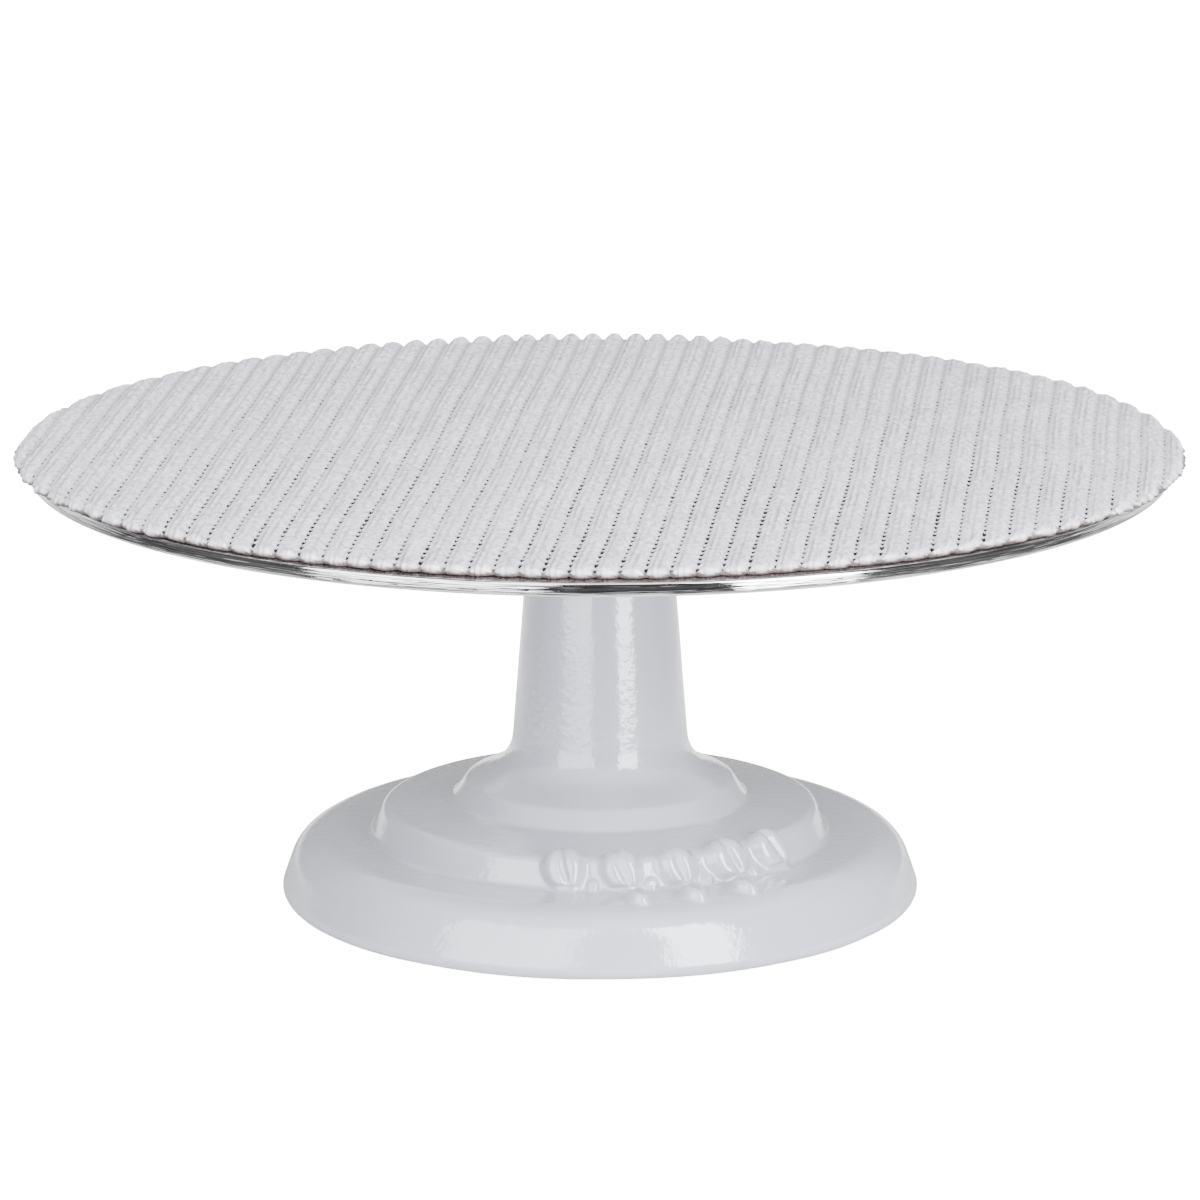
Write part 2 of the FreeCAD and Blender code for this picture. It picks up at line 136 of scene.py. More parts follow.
# ================================ mesh tools ================================
def build_piece(name, points_mm, faces, body, material, replaces):
    """A closed, smooth-shaded mesh piece from points in millimetres, riding on a body."""
    mesh = bpy.data.meshes.new(name)
    mesh.from_pydata((np.asarray(points_mm) * MM).tolist(), [], faces)
    tidy = bmesh.new()
    tidy.from_mesh(mesh)
    bmesh.ops.recalc_face_normals(tidy, faces=tidy.faces)
    tidy.to_mesh(mesh)
    tidy.free()
    mesh.polygons.foreach_set("use_smooth", [True] * len(mesh.polygons))
    mesh.materials.append(material)
    piece = bpy.data.objects.new(name, mesh)
    bpy.context.scene.collection.objects.link(piece)
    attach(piece, body)
    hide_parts(*replaces)
    return piece


def add_attribute(piece, name, values):
    """A number at every vertex, for the piece's material."""
    layer = piece.data.attributes.new(name, "FLOAT", "POINT")
    layer.data.foreach_set("value", np.asarray(values, np.float32))


def outline_points(corners, step_of):
    """Points along an outline of (radius, height, round) corners, spaced as step_of(points, bend) says."""
    dense = []
    bends = []
    start = Vector(corners[0][:2])
    for before, here, after in zip(corners, corners[1:], corners[2:]):
        corner = Vector(here[:2])
        back = (Vector(before[:2]) - corner).normalized()
        ahead = (Vector(after[:2]) - corner).normalized()
        half = back.angle(ahead) / 2
        reach = here[2] / math.tan(half)
        arc_start = corner + back * reach
        centre = corner + (back + ahead).normalized() * (here[2] / math.sin(half))
        turn = math.pi - 2 * half
        sign = 1 if back.x * ahead.y - back.y * ahead.x < 0 else -1
        add_line(dense, bends, start, arc_start)
        spoke = arc_start - centre
        count = max(2, int(turn * here[2] / 0.05))
        for step in range(count):
            angle = sign * turn * step / count
            cos, sin = math.cos(angle), math.sin(angle)
            dense.append((centre.x + spoke.x * cos - spoke.y * sin, centre.y + spoke.x * sin + spoke.y * cos))
            bends.append(here[2])
        start = corner + ahead * reach
    add_line(dense, bends, start, Vector(corners[-1][:2]))
    dense.append(corners[-1][:2])
    bends.append(STRAIGHT)
    dense = np.array(dense)
    lengths = np.linalg.norm(np.diff(dense, axis=0), axis=1)
    wanted = lengths / step_of(dense, np.array(bends))[1:]
    marks = np.concatenate([[0], np.cumsum(wanted)])
    picks = np.linspace(0, marks[-1], int(math.ceil(marks[-1])) + 1)
    return np.column_stack([np.interp(picks, marks, dense[:, 0]), np.interp(picks, marks, dense[:, 1])])


def add_line(dense, bends, start, end):
    """Closely spaced points on a straight stretch, without its end."""
    count = max(1, int((end - start).length / 0.1))
    for step in range(count):
        dense.append(tuple(start.lerp(end, step / count)))
        bends.append(STRAIGHT)


def outline_normals(outline):
    """Unit normals of an outline, to the right of its direction of travel."""
    along = np.gradient(outline, axis=0)
    along /= np.linalg.norm(along, axis=1)[:, None]
    return np.column_stack([along[:, 1], -along[:, 0]])


def distances_along(outline):
    return np.concatenate([[0], np.cumsum(np.linalg.norm(np.diff(outline, axis=0), axis=1))])


def turned_grid(outline, angles, lift):
    """Points of a turned surface, row by row, raised by lift along its normals."""
    normals = outline_normals(outline)
    radius = outline[:, 0, None] + normals[:, 0, None] * lift
    height = outline[:, 1, None] + normals[:, 1, None] * lift
    return np.stack([radius * np.cos(angles), radius * np.sin(angles), height], axis=2)


def grid_faces(rows, columns, first=0):
    """Quads of a grid that closes round its columns."""
    row, column = np.meshgrid(np.arange(rows - 1), np.arange(columns), indexing="ij")
    after = (column + 1) % columns
    base = first + row * columns
    quads = np.stack([base + column, base + after, base + columns + after, base + columns + column], axis=2)
    return quads.reshape(-1, 4).tolist()


def zip_rings(first, second):
    """Triangles between two closed rings of (angle, vertex), of any number of vertices each."""
    first, second = sorted(first), sorted(second)
    faces = []
    i = j = 0
    while i < len(first) or j < len(second):
        next_i = first[(i + 1) % len(first)][0] + (2 * math.pi if i + 1 >= len(first) else 0)
        next_j = second[(j + 1) % len(second)][0] + (2 * math.pi if j + 1 >= len(second) else 0)
        here_i, here_j = first[i % len(first)][1], second[j % len(second)][1]
        if j >= len(second) or (i < len(first) and next_i <= next_j):
            faces.append((here_i, first[(i + 1) % len(first)][1], here_j))
            i += 1
        else:
            faces.append((here_i, second[(j + 1) % len(second)][1], here_j))
            j += 1
    return faces


def noise_field(points, scale, seed=0.0):
    """Smooth noise from -1 to 1 at each point, with features about scale millimetres across."""
    shift = Vector((seed * 7.3, seed * 3.1, seed * 5.7))
    flat = np.asarray(points).reshape(-1, 3) / scale
    values = [noise.noise(Vector(p) + shift) for p in flat.tolist()]
    return np.array(values).reshape(np.asarray(points).shape[:-1])


# ================================ materials ================================
class Shader:
    """A material's node tree, and the kinds of node that the materials below share."""

    def __init__(self, name):
        self.material = bpy.data.materials.new(name)
        self.material.use_nodes = True
        self.tree = self.material.node_tree
        self.tree.nodes.clear()
        self.place = self.node("TexCoord").outputs["Object"]

    def node(self, kind, inputs=None, **settings):
        made = self.tree.nodes.new("ShaderNode" + kind)
        for key, value in settings.items():
            setattr(made, key, value)
        for key, value in (inputs or {}).items():
            self.feed(made.inputs[key], value)
        return made

    def feed(self, socket, value):
        if isinstance(value, bpy.types.NodeSocket):
            self.tree.links.new(value, socket)
        else:
            socket.default_value = value

    def math(self, operation, a, b=0.0):
        return self.node("Math", {0: a, 1: b}, operation=operation).outputs[0]

    def scaled(self, vector, scale):
        return self.node("VectorMath", {0: vector, 1: scale}, operation="MULTIPLY").outputs[0]

    def noise(self, scale, detail=2.0, roughness=0.5, vector=None):
        inputs = {"Vector": vector or self.place, "Scale": scale, "Detail": detail, "Roughness": roughness}
        return self.node("TexNoise", inputs).outputs["Fac"]

    def cells(self, scale):
        """Distance to the nearest of scattered points."""
        return self.node("TexVoronoi", {"Vector": self.place, "Scale": scale}).outputs["Distance"]

    def range(self, value, low, high, to_low=0.0, to_high=1.0):
        inputs = {"Value": value, "From Min": low, "From Max": high, "To Min": to_low, "To Max": to_high}
        return self.node("MapRange", inputs).outputs["Result"]

    def mix(self, factor, a, b):
        """Colour a where factor is 0 and b where it is 1."""
        made = self.node("Mix", data_type="RGBA")
        self.feed(made.inputs["Factor"], factor)
        self.feed(made.inputs["A"], a)
        self.feed(made.inputs["B"], b)
        return made.outputs["Result"]

    def attribute(self, name):
        return self.node("Attribute", attribute_name=name).outputs["Fac"]

    def split(self, vector=None):
        """A vector's parts, or the place's."""
        return self.node("SeparateXYZ", {"Vector": vector or self.place}).outputs

    def vector(self, x, y, z=0.0):
        return self.node("CombineXYZ", {"X": x, "Y": y, "Z": z}).outputs[0]

    def radius(self):
        """Distance from the axis."""
        split = self.split()
        flat = self.vector(split["X"], split["Y"])
        return self.node("VectorMath", {0: flat}, operation="LENGTH").outputs["Value"]

    def polar(self, around, outward):
        """Coordinates for marks that run round the axis: they change slowly around it and fast outward."""
        split = self.split()
        flat = self.vector(split["X"], split["Y"])
        parts = self.split(self.node("VectorMath", {0: flat}, operation="NORMALIZE").outputs[0])
        depth = self.math("MULTIPLY", self.math("ADD", self.radius(), split["Z"]), outward)
        x, y = (self.math("MULTIPLY", parts[axis], around) for axis in "XY")
        return self.vector(x, y, depth)

    def bump(self, height, distance, strength=1.0, normal=None):
        inputs = {"Height": height, "Distance": distance, "Strength": strength}
        if normal is not None:
            inputs["Normal"] = normal
        return self.node("Bump", inputs).outputs["Normal"]

    def finish(self, **inputs):
        """Ends the tree in a Principled shader. An input's name has _ for each space."""
        named = {key.replace("_", " "): value for key, value in inputs.items()}
        shader = self.node("BsdfPrincipled", named)
        self.node("OutputMaterial", {"Surface": shader.outputs["BSDF"]})
        return self.material


def grey(value, warmth=0.0):
    """A grey as RGBA, warmer or, if negative, cooler."""
    return (value + warmth, value, value - warmth, 1.0)


def enamel_material():
    """Glossy light grey enamel over cast iron: slight orange peel, faint clouding and a few specks."""
    s = Shader("enamel")
    clouds = s.range(s.noise(22.0, 3.0), 0.3, 0.7)
    glaze = s.mix(clouds, (0.400, 0.419, 0.486, 1), (0.440, 0.458, 0.524, 1))
    specks = s.range(s.cells(95.0), 0.0, 0.045, 1.0, 0.0)
    glaze = s.mix(s.math("MULTIPLY", specks, 0.35), glaze, (0.2, 0.2, 0.21, 1))
    ripple = s.bump(s.noise(520.0, 2.0, 0.5), 0.00011)
    pores = s.range(s.cells(160.0), 0.0, 0.05)
    normal = s.bump(pores, 0.00012, 0.5, ripple)
    sheen = s.range(s.noise(60.0, 2.0), 0.3, 0.7, 0.12, 0.2)
    return s.finish(Base_Color=glaze, Roughness=sheen, Normal=normal, IOR=1.55, Coat_Weight=1.0,
                    Coat_Roughness=0.10, Coat_Normal=ripple)


def turned_metal(name, dark, light, rough, grooves, groove_depth=0.00002):
    """Turned or ground metal: fine rings round the axis, patches of wear and slight discolouration."""
    s = Shader(name)
    rings = s.noise(1.0, 3.0, 0.6, s.polar(5.0, grooves))
    fine = s.noise(1.0, 2.0, 0.6, s.polar(9.0, grooves * 3.1))
    patches = s.noise(40.0, 4.0, 0.6)
    tone = s.math("ADD", s.math("MULTIPLY", rings, 0.5), s.math("MULTIPLY", patches, 0.5))
    colour = s.mix(s.range(tone, 0.35, 0.65), dark, light)
    gloss = s.range(s.math("ADD", fine, patches), 0.7, 1.3, rough[0], rough[1])
    normal = s.bump(fine, groove_depth * 0.5, 0.6, s.bump(rings, groove_depth))
    return s.finish(Base_Color=colour, Metallic=1.0, Roughness=gloss, Normal=normal)


def plate_material():
    """Bright aluminium, turned on both faces, with a coarser turned and buffed rim, painted dark reflection
    streaks round the rim, and faint scratches.
    """
    s = Shader("plate_aluminium")
    rings = s.noise(1.0, 2.0, 0.6, s.polar(3.0, 1500.0))
    streaks = s.noise(1.0, 3.0, 0.65, s.polar(7.0, 5200.0))
    scratches = s.noise(1.0, 4.0, 0.7, s.scaled(s.place, (900.0, 35.0, 900.0)))
    marks = s.range(scratches, 0.64, 0.78)
    haze = s.noise(18.0, 4.0, 0.6)
    colour = s.mix(s.range(haze, 0.3, 0.7), grey(0.80, 0.004), grey(0.87, 0.0))
    colour = s.mix(s.math("MULTIPLY", marks, 0.3), colour, grey(0.6, 0.01))
    rim = s.range(s.radius(), (PLATE_R - 2.0) * MM, (PLATE_R - 1.2) * MM)
    turning = s.noise(1.0, 1.0, 0.5, s.polar(11.0, 2600.0))
    lines = s.math("MULTIPLY", turning, rim)
    # painted reflection: dark bands round the rim's curve stand in for the streaky reflections of the
    # polished edge
    painted_rim_reflection = s.range(s.noise(1.0, 2.0, 0.6, s.polar(6.0, 3400.0)), 0.44, 0.62, 0.0, 0.8)
    colour = s.mix(s.math("MULTIPLY", rim, painted_rim_reflection), colour, (0.20, 0.20, 0.235, 1))
    gloss = s.range(s.math("ADD", streaks, s.math("MULTIPLY", haze, 0.5)), 0.5, 1.0, 0.03, 0.12)
    normal = s.bump(streaks, 0.000002, 0.8, s.bump(rings, 0.000006, 0.6, s.bump(lines, 0.00009)))
    return s.finish(Base_Color=colour, Metallic=1.0, Roughness=gloss, Normal=normal)


def pad_material():
    """Puffed foam: blotchy, rippled and pleated ribs with painted shade in their grooves, folds, seams,
    ripples and hollows, rows of holes painted dark as shade, a pale edge, and dark brown on the lower cut
    edge and underneath.
    """
    s = Shader("pad_foam")
    across, beat, opened = s.attribute("across"), s.attribute("beat"), s.attribute("open")
    edge, under = s.attribute("edge"), s.attribute("under")
    row = s.math("DIVIDE", across, ROW_PITCH)
    off_row = s.math("MULTIPLY", s.math("SUBTRACT", row, s.math("ROUND", row)), ROW_PITCH)
    off_hole = s.math("MULTIPLY", s.math("SUBTRACT", beat, s.math("ROUND", beat)), HOLE_PITCH)
    wobble = s.range(s.noise(900.0, 2.0), 0.3, 0.7, -0.2, 0.2)
    wide = s.math("POWER", s.math("DIVIDE", off_row, 0.50), 2.0)
    long = s.math("POWER", s.math("DIVIDE", off_hole, 1.35), 2.0)
    reach = s.math("ADD", s.math("SQRT", s.math("ADD", wide, long)), wobble)
    reach = s.math("DIVIDE", reach, s.range(opened, 0.1, 1.5, 0.45, 1.35))
    # painted shade: near black in the holes, where shade falls, weaker in holes that are less open
    hole = s.math("MULTIPLY", s.range(reach, 1.1, 0.7), s.range(opened, 0.05, 0.45))

    from_row = s.math("ABSOLUTE", off_row)
    groove = s.range(from_row, 1.3, 0.2)
    seam = s.range(from_row, 2.5, 3.05)
    fold_bump_and_shade = s.range(s.math("ABSOLUTE", s.math("SUBTRACT", off_row, 1.55)), 0.5, 0.1)
    flow = s.vector(s.math("MULTIPLY", across, 0.95), s.math("MULTIPLY", beat, 1.7))
    ripples = s.noise(0.6, 3.0, 0.6, flow)
    lumps = s.noise(0.8, 3.0, 0.6, flow)
    cells = s.noise(1500.0, 3.0, 0.6)
    # patches where the ripples' painted shade shows
    ripple_shade_patches = s.range(s.noise(60.0, 3.0, 0.6), 0.35, 0.65)
    chevron = s.math("ADD", s.math("MULTIPLY", beat, 2.0), s.math("MULTIPLY", from_row, 0.16))
    chevron = s.math("ADD", chevron, s.math("MULTIPLY", lumps, 0.5))
    wave = s.math("SINE", s.math("MULTIPLY", chevron, 2 * math.pi))
    wave = s.math("MULTIPLY", s.range(wave, -0.2, 1.0), s.math("MULTIPLY", ripple_shade_patches, s.range(from_row, 0.5, 1.2)))

    back = s.range(s.split()["Y"], -0.03, 0.09)
    stitch = s.range(s.math("COSINE", s.math("MULTIPLY", beat, 2 * math.pi)), 0.0, -0.9)
    strands = s.vector(s.math("MULTIPLY", across, 0.3), s.math("MULTIPLY", beat, 0.12))
    pleated = s.range(s.noise(1.0, 2.0, 0.5, strands), 0.38, 0.58, 0.15, 1.0)

    tint = s.range(s.noise(35.0, 4.0, 0.6), 0.3, 0.7)
    foam = s.mix(tint, (0.785, 0.755, 0.895, 1), (0.850, 0.820, 0.960, 1))
    pale = (0.97, 0.96, 1.0, 1)
    foam = s.mix(s.range(ripples, 0.47, 0.60, 0.0, 0.85), foam, pale)
    # painted shade: darker where the lumps noise is low, in the hollows that the lumps bump makes
    foam = s.mix(s.range(lumps, 0.56, 0.38, 0.0, 0.70), foam, (0.38, 0.37, 0.42, 1))
    beside_row = s.range(from_row, 2.2, 0.8, 0.0, 0.5)
    foam = s.mix(s.math("MULTIPLY", stitch, beside_row), foam, pale)
    # painted shade along the fold beside each row of holes
    foam = s.mix(s.math("MULTIPLY", s.math("MULTIPLY", fold_bump_and_shade, pleated), 0.75), foam, (0.36, 0.35, 0.40, 1))
    # painted shade: dark dashes across the ribs where the ripples run, in patches
    foam = s.mix(s.math("MULTIPLY", wave, 0.5), foam, (0.25, 0.24, 0.28, 1))
    # painted shade along the seam midway between the rows
    foam = s.mix(s.math("MULTIPLY", s.math("MULTIPLY", seam, pleated), 0.6), foam, (0.36, 0.35, 0.39, 1))
    # painted shade in the grooves along the rows of holes, deeper towards the back
    shade = s.range(back, 0.0, 1.0, 0.45, 0.8)
    foam = s.mix(s.math("MULTIPLY", groove, shade), foam, (0.34, 0.33, 0.37, 1))
    frayed = s.math("MULTIPLY", edge, s.range(lumps, 0.35, 0.6, 0.05, 0.4))
    foam = s.mix(frayed, foam, (0.97, 0.965, 0.985, 1))
    # painted shade in the holes
    foam = s.mix(hole, foam, (0.016, 0.014, 0.020, 1))
    # dark brown over the lower part of the cut edge, reaching higher where the edge is pinched, and over the
    # underside
    dark_lower_edge = s.mix(s.range(cells, 0.3, 0.7), (0.060, 0.047, 0.048, 1), (0.170, 0.142, 0.140, 1))
    colour = s.mix(under, foam, dark_lower_edge)
    matte = s.range(cells, 0.3, 0.7, 0.62, 0.8)
    creases = s.math("MULTIPLY", s.math("ADD", fold_bump_and_shade, seam), pleated)
    normal = s.bump(s.math("SUBTRACT", 1.0, creases), 0.0004, 0.7, s.bump(lumps, 0.0007, 0.8))
    normal = s.bump(wave, 0.0004, 0.5, s.bump(cells, 0.00022, 0.6, normal))
    return s.finish(Base_Color=colour, Roughness=matte, Normal=normal, IOR=1.46, Specular_IOR_Level=0.12)


def rubber_material():
    """Moulded black rubber with a fine texture and dusty patches."""
    s = Shader("black_rubber")
    dust = s.range(s.noise(160.0, 4.0, 0.65), 0.5, 0.75)
    colour = s.mix(dust, grey(0.022), grey(0.075, 0.003))
    normal = s.bump(s.noise(2600.0, 2.0), 0.00008, 0.6)
    return s.finish(Base_Color=colour, Roughness=s.range(dust, 0.0, 1.0, 0.5, 0.75), Normal=normal)


def nylon_material():
    """Pale moulded nylon of the ball cage."""
    s = Shader("cage_nylon")
    flow = s.range(s.noise(300.0, 3.0), 0.3, 0.7)
    colour = s.mix(flow, (0.66, 0.60, 0.46, 1), (0.74, 0.69, 0.56, 1))
    normal = s.bump(s.noise(3000.0, 2.0), 0.00004, 0.5)
    return s.finish(Base_Color=colour, Roughness=s.range(flow, 0.0, 1.0, 0.35, 0.5), Normal=normal,
                    Subsurface_Weight=0.1, Subsurface_Radius=(0.001, 0.0008, 0.0006))


def plated_screw_material():
    """Zinc-plated screw steel: bright and slightly yellow, mottled, with a fine grain."""
    s = Shader("screw_steel")
    mottle = s.range(s.noise(420.0, 4.0, 0.6), 0.3, 0.7)
    colour = s.mix(mottle, (0.50, 0.49, 0.45, 1), (0.70, 0.69, 0.64, 1))
    grain = s.noise(2200.0, 3.0, 0.7, s.scaled(s.place, (1.0, 1.0, 0.3)))
    return s.finish(Base_Color=colour, Metallic=1.0, Roughness=s.range(grain, 0.3, 0.7, 0.22, 0.42),
                    Normal=s.bump(grain, 0.00003, 0.6))


def make_materials():
    """Every record slot's material."""
    return {
        "enamelled_iron": enamel_material(),
        "plate_aluminium": plate_material(),
        "pad_fabric": pad_material(),
        "black_rubber": rubber_material(),
        "cage_nylon": nylon_material(),
        "screw_steel": plated_screw_material(),
        "cast_aluminium": turned_metal("cast_aluminium", grey(0.52), grey(0.68), (0.28, 0.45), 1100.0),
        "bearing_steel": turned_metal("bearing_steel", grey(0.60, -0.004), grey(0.74, -0.004), (0.07, 0.16),
                                      2600.0, 0.000005),
        "hardened_steel": turned_metal("hardened_steel", grey(0.13), grey(0.24, 0.006), (0.25, 0.42), 1900.0),
        "shield_steel": turned_metal("shield_steel", grey(0.46, 0.004), grey(0.60, 0.004), (0.22, 0.38),
                                     2400.0, 0.00001),
        "bronze": turned_metal("bronze", (0.42, 0.24, 0.10, 1), (0.66, 0.42, 0.19, 1), (0.2, 0.38), 1700.0),
    }


# ================================ pedestal ================================
def near_ornament(points):
    """True for points of the outline that the raised ornament may cover."""
    inner_r, outer_r = ORNAMENT_RADII
    return (points[:, 0] > inner_r) & (points[:, 0] < outer_r) & (points[:, 1] > ORNAMENT_LOW)


def casting_steps(points, bend):
    """Spacing of the outline's points: closer together over the ornament and in the tight bends."""
    plain_step = np.where(points[:, 1] > COLUMN_FOOT, COLUMN_STEP, FOOT_STEP)
    step = np.where(near_ornament(points), ORNAMENT_STEP, plain_step)
    return np.minimum(step, bend * 0.22)


def casting_angles():
    """Angles round the casting, closer together over the ornament."""
    fine = math.radians(ORNAMENT_STEP)
    coarse = math.radians(FOOT_STEP)
    centre = math.radians(ORNAMENT_ANGLE)
    half = math.radians(ORNAMENT_HALF_SECTOR)
    close = np.linspace(centre - half, centre + half, int(2 * half / fine) + 1)
    rest = 2 * math.pi - 2 * half
    wide = np.linspace(centre + half, centre + half + rest, int(rest / coarse) + 1)[1:-1]
    return np.concatenate([close, wide])


def bead_heights(row, outline, along, angles, random):
    """Height of one row of beads over the whole surface, each bead leaning and a little uneven."""
    count, spot, half_width, half_length, height, spacing, lean = row
    nearest = np.argmin(np.linalg.norm(outline - np.array(spot), axis=1))
    total = np.zeros((len(outline), len(angles)))
    for step in range(count):
        centre = math.radians(ORNAMENT_ANGLE + (step - (count - 1) / 2) * spacing)
        size = 1 + random.uniform(-0.07, 0.07)
        tilt = math.radians(lean + random.uniform(-5, 5))
        turn = (angles - centre + math.pi) % (2 * math.pi) - math.pi
        side = turn[None, :] * spot[0]
        up = (along - along[nearest] + random.uniform(-0.3, 0.3))[:, None]
        across = side * math.cos(tilt) + up * math.sin(tilt)
        length = (up * math.cos(tilt) - side * math.sin(tilt)) / (half_length * size)
        width = half_width * size * (1 + 0.22 * np.clip(length, -1.2, 1.2))
        reach = (across / width) ** 2 + length ** 2
        body = np.exp(-1.25 * reach ** 3)
        rib = 0.36 * np.exp(-(across / (half_width * 0.17)) ** 2) * np.exp(-2.5 * reach ** 2)
        total = np.maximum(total, height * size * (body - rib * min(1.0, half_width / 4)))
    return total


def casting_lift(outline, angles):
    """How far the casting's skin stands off its turned outline: beads and soft waviness."""
    random = np.random.default_rng(SEED)
    along = distances_along(outline)
    rows = [bead_heights(row, outline, along, angles, random) for row in (LEAVES, DROPS, SEEDS)]
    beads = sum(row ** 3 for row in rows) ** (1 / 3)
    flat = turned_grid(outline, angles, np.zeros((len(outline), len(angles))))
    wave = 0.13 * noise_field(flat, 26.0, 1.0) + 0.03 * noise_field(flat, 11.0, 2.0)
    ends = np.clip(np.minimum(along, along[-1] - along) / 3.0, 0, 1)[:, None]
    return beads + wave * ends


def casting_inside(outline):
    """The casting's hollow, ribs, lugs and bores: the frame's own faces away from the outside."""
    source = bmesh.new()
    source.from_mesh(frame["nodes"]["base_casting"].data)
    bmesh.ops.remove_doubles(source, verts=source.verts, dist=1e-6)
    doomed = []
    by_radius = np.argsort(outline[:, 0])
    for face in source.faces:
        places = [v.co / MM for v in face.verts]
        reach = max(math.hypot(p.x, p.y) for p in places)
        middle = sum(places, Vector()) / len(places)
        skin = np.interp(math.hypot(middle.x, middle.y), outline[by_radius, 0], outline[by_radius, 1])
        in_bore = reach < RECESS_R + 0.05
        in_hollow = reach < HOLLOW_R + 0.05 and middle.z < skin - WALL_MIN
        if not (in_bore or in_hollow):
            doomed.append(face)
    bmesh.ops.delete(source, geom=doomed, context="FACES")
    source.verts.index_update()
    points = np.array([v.co for v in source.verts]) / MM
    faces = [[v.index for v in face.verts] for face in source.faces]
    rim = {v.index for edge in source.edges if edge.is_boundary for v in edge.verts}
    source.free()
    return points, faces, rim


def ring_by_angle(points, members):
    return [(math.atan2(points[i][1], points[i][0]), i) for i in members]


def make_casting(materials):
    outline = outline_points(CASTING_OUTSIDE, casting_steps)
    angles = casting_angles()
    skin = turned_grid(outline, angles, casting_lift(outline, angles)).reshape(-1, 3)
    inside, inside_faces, rim = casting_inside(outline)
    points = np.concatenate([skin, inside])
    offset = len(skin)
    faces = grid_faces(len(outline), len(angles))
    faces += [[i + offset for i in face] for face in inside_faces]
    low = [i + offset for i in rim if inside[i][2] < COLUMN_TOP / 2]
    high = [i + offset for i in rim if inside[i][2] > COLUMN_TOP / 2]
    columns = len(angles)
    faces += zip_rings(ring_by_angle(points, range(columns)), ring_by_angle(points, low))
    faces += zip_rings(ring_by_angle(points, range(offset - columns, offset)), ring_by_angle(points, high))
    piece = build_piece("pedestal_casting", points, faces, "base",
                        materials["enamelled_iron"], ["base_casting"])
    piece.data.set_sharp_from_angle(angle=math.radians(50))


# ================================ plate ================================
def circle(radius, height, count, x=0.0, y=0.0):
    angles = np.arange(count) * 2 * math.pi / count
    return np.column_stack([x + radius * np.cos(angles), y + radius * np.sin(angles), np.full(count, height)])


def plate_holes():
    """Every countersunk hole: shank radius, head radius and place."""
    holes = [(*CENTRE_SCREW_SIZE, 0.0, 0.0)]
    for quarter in range(4):
        angle = math.radians(45 + 90 * quarter)
        x, y = HUB_SCREW_PITCH_R * math.cos(angle), HUB_SCREW_PITCH_R * math.sin(angle)
        holes.append((*HUB_SCREW_SIZE, x, y))
    return holes


def flat_face(points, loops):
    """Triangles over a level face bounded by its first loop, with the other loops as holes."""
    flat = []
    rings = []
    for loop in loops:
        rings.append(list(range(len(flat), len(flat) + len(loop))))
        flat.extend(loop)
    edges = [(ring[i], ring[(i + 1) % len(ring)]) for ring in rings for i in range(len(ring))]
    plan = [Vector(points[i][:2]) for i in flat]
    _, _, triangles, _, _, _ = geometry.delaunay_2d_cdt(plan, edges, [], 0, 1e-7)
    holes = [set(loop) for loop in loops[1:]]
    faces = [[flat[i] for i in triangle] for triangle in triangles]
    return [face for face in faces if not any(hole.issuperset(face) for hole in holes)]


def make_plate(materials):
    """Turned plate with rounded edges and countersunk holes."""
    top, bottom = PLATE_HIGH.z, PLATE_LOW.z
    corners = ((PLATE_FLAT_R, bottom, 0), (PLATE_R, bottom, PLATE_BOTTOM_EDGE_R),
               (PLATE_R, top, PLATE_TOP_EDGE_R), (PLATE_FLAT_R, top, 0))
    outline = outline_points(corners, lambda points, bend: np.where(bend < STRAIGHT, 0.2, 2.4))
    angles = np.arange(PLATE_SEGMENTS) * 2 * math.pi / PLATE_SEGMENTS
    points = turned_grid(outline, angles, np.zeros((len(outline), PLATE_SEGMENTS))).reshape(-1, 3)
    faces = grid_faces(len(outline), PLATE_SEGMENTS)
    top_loops = [list(range(len(points) - PLATE_SEGMENTS, len(points)))]
    bottom_loops = [list(range(PLATE_SEGMENTS))]
    count = HOLE_SEGMENTS
    for shank_r, head_r, x, y in plate_holes():
        cone = head_r - shank_r
        first = len(points)
        levels = ((head_r + HOLE_CHAMFER, top), (head_r, top - HOLE_CHAMFER), (shank_r, top - cone),
                  (shank_r, bottom))
        points = np.concatenate([points] + [circle(radius, height, count, x, y) for radius, height in levels])
        faces += grid_faces(len(levels), count, first)
        top_loops.append(list(range(first, first + count)))
        bottom_loops.append(list(range(len(points) - count, len(points))))
    faces += flat_face(points, top_loops)
    faces += flat_face(points, bottom_loops)
    piece = build_piece("polished_plate", points, faces, "top",
                        materials["plate_aluminium"], ["turntable_plate"])
    piece.data.set_sharp_from_angle(angle=math.radians(35))


# ================================ pad ================================
def pad_pattern(x, y):
    """Coordinates across the rows of holes and along them."""
    across = x * math.cos(PAD_LEAN) - y * math.sin(PAD_LEAN)
    along = x * math.sin(PAD_LEAN) + y * math.cos(PAD_LEAN)
    return across, along


def edge_relief(x, y):
    """How deeply the edge is pinched between the ribs: fully in front, less at the back's two sides."""
    behind = np.clip(1.6 * y / (np.hypot(x, y) + 1e-6), 0, 1)
    share = np.interp(x, (-150.0, -90.0, -40.0, 20.0, 55.0, 150.0), (0.4, 0.5, 1.0, 1.0, 0.35, 0.25))
    return 1 - behind * (1 - share)


